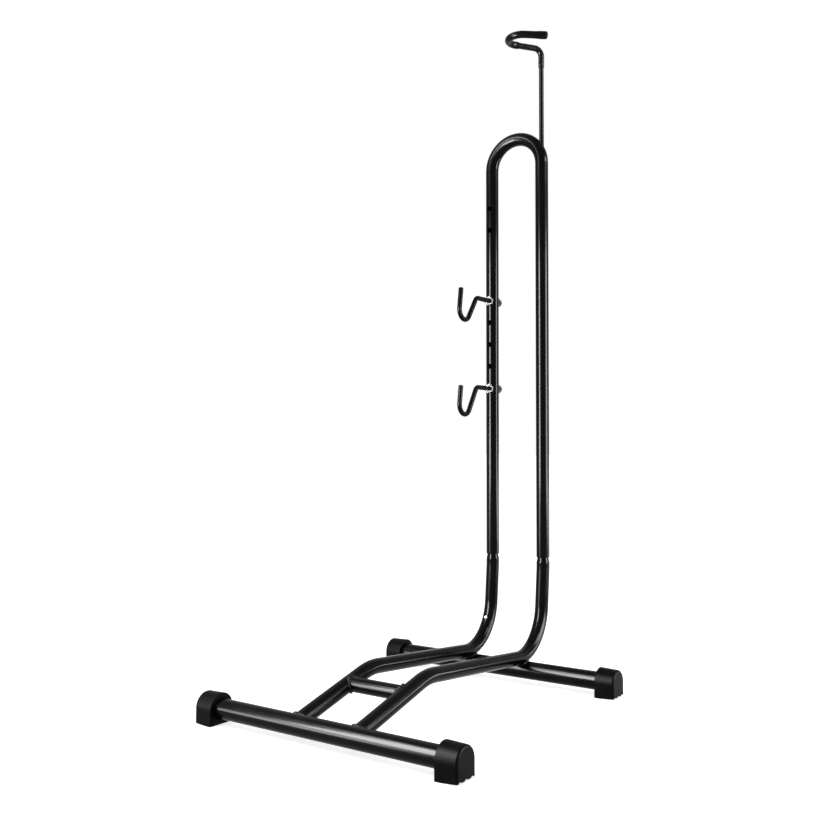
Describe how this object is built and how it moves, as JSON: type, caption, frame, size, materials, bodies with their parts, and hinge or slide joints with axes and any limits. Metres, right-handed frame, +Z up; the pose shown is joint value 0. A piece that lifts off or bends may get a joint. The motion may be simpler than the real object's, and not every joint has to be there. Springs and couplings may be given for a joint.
{
  "type": "floor bike rack",
  "caption": "Upright floor bike rack: tube base with rubber feet, tall narrow tube loop, two J hooks on one leg and a height-adjustable wheel hook.",
  "frame": {"origin": "on the floor, under the middle of the whole rack's box: the front foot caps are its front limit and the hooks' cap nuts its back limit", "axes": "+X along the base bars, +Y from the front bar towards the uprights, +Z up"},
  "size_m": [0.487, 0.6464, 1.228],
  "materials": {
    "black_powder_coat": "gloss powder coat on steel tube",
    "coated_weld": "powder coat over a steel weld bead",
    "nickel_plug": "small bright domed plug",
    "cap_rubber": "moulded rubber, dull",
    "black_hook_rod": "gloss black coat on steel rod",
    "bright_zinc": "bright zinc-plated steel",
    "bright_chrome": "bright plated steel",
    "soft_black_sleeve": "thin black rubber sleeve",
    "soft_black_pad": "thick black rubber sleeve",
    "plug_plastic": "black moulded plastic"
  },
  "bodies": {
    "frame": {"upright_frame": "black_powder_coat", "left_side_tube": "black_powder_coat", "right_side_tube": "black_powder_coat", "vent_plug": "nickel_plug", "front_base_bar": "black_powder_coat", "rear_base_bar": "black_powder_coat", "wheel_stop_bar": "black_powder_coat", "front_bar_welds": "coated_weld", "rear_bar_welds": "coated_weld", "stop_bar_welds": "coated_weld", "front_left_foot_cap": "cap_rubber", "front_right_foot_cap": "cap_rubber", "rear_left_foot_cap": "cap_rubber", "rear_right_foot_cap": "cap_rubber"},
    "lower_hook": {"lower_hook_rod": "black_hook_rod", "lower_hook_lock_nut": "bright_zinc", "lower_hook_cap_nut": "bright_chrome"},
    "upper_hook": {"upper_hook_rod": "black_hook_rod", "upper_hook_lock_nut": "bright_zinc", "upper_hook_cap_nut": "bright_chrome"},
    "rod_slider": {"rod_guide_plug": "plug_plastic", "guide_plug_screw": "bright_zinc"},
    "wheel_hook": {"wheel_hook_rod": "black_hook_rod", "wheel_hook_sleeve": "soft_black_sleeve", "wheel_hook_pad": "soft_black_pad"}
  },
  "joints": [
    {"name": "lower_hook_turn", "type": "hinge", "parent": "frame", "child": "lower_hook", "pos_m": [-0.0557, 0.29235, 0.5532], "axis": [0, 1, 0], "continuous": true},
    {"name": "upper_hook_turn", "type": "hinge", "parent": "frame", "child": "upper_hook", "pos_m": [-0.0557, 0.29235, 0.7292], "axis": [0, 1, 0], "continuous": true},
    {"name": "wheel_hook_height", "type": "slide", "parent": "frame", "child": "rod_slider", "axis": [0, 0, 1], "range_m": [-0.14, 0.15]},
    {"name": "wheel_hook_swivel", "type": "hinge", "parent": "rod_slider", "child": "wheel_hook", "pos_m": [0.0557, 0.29235, 1.0022], "axis": [0, 0, 1], "continuous": true}
  ]
}
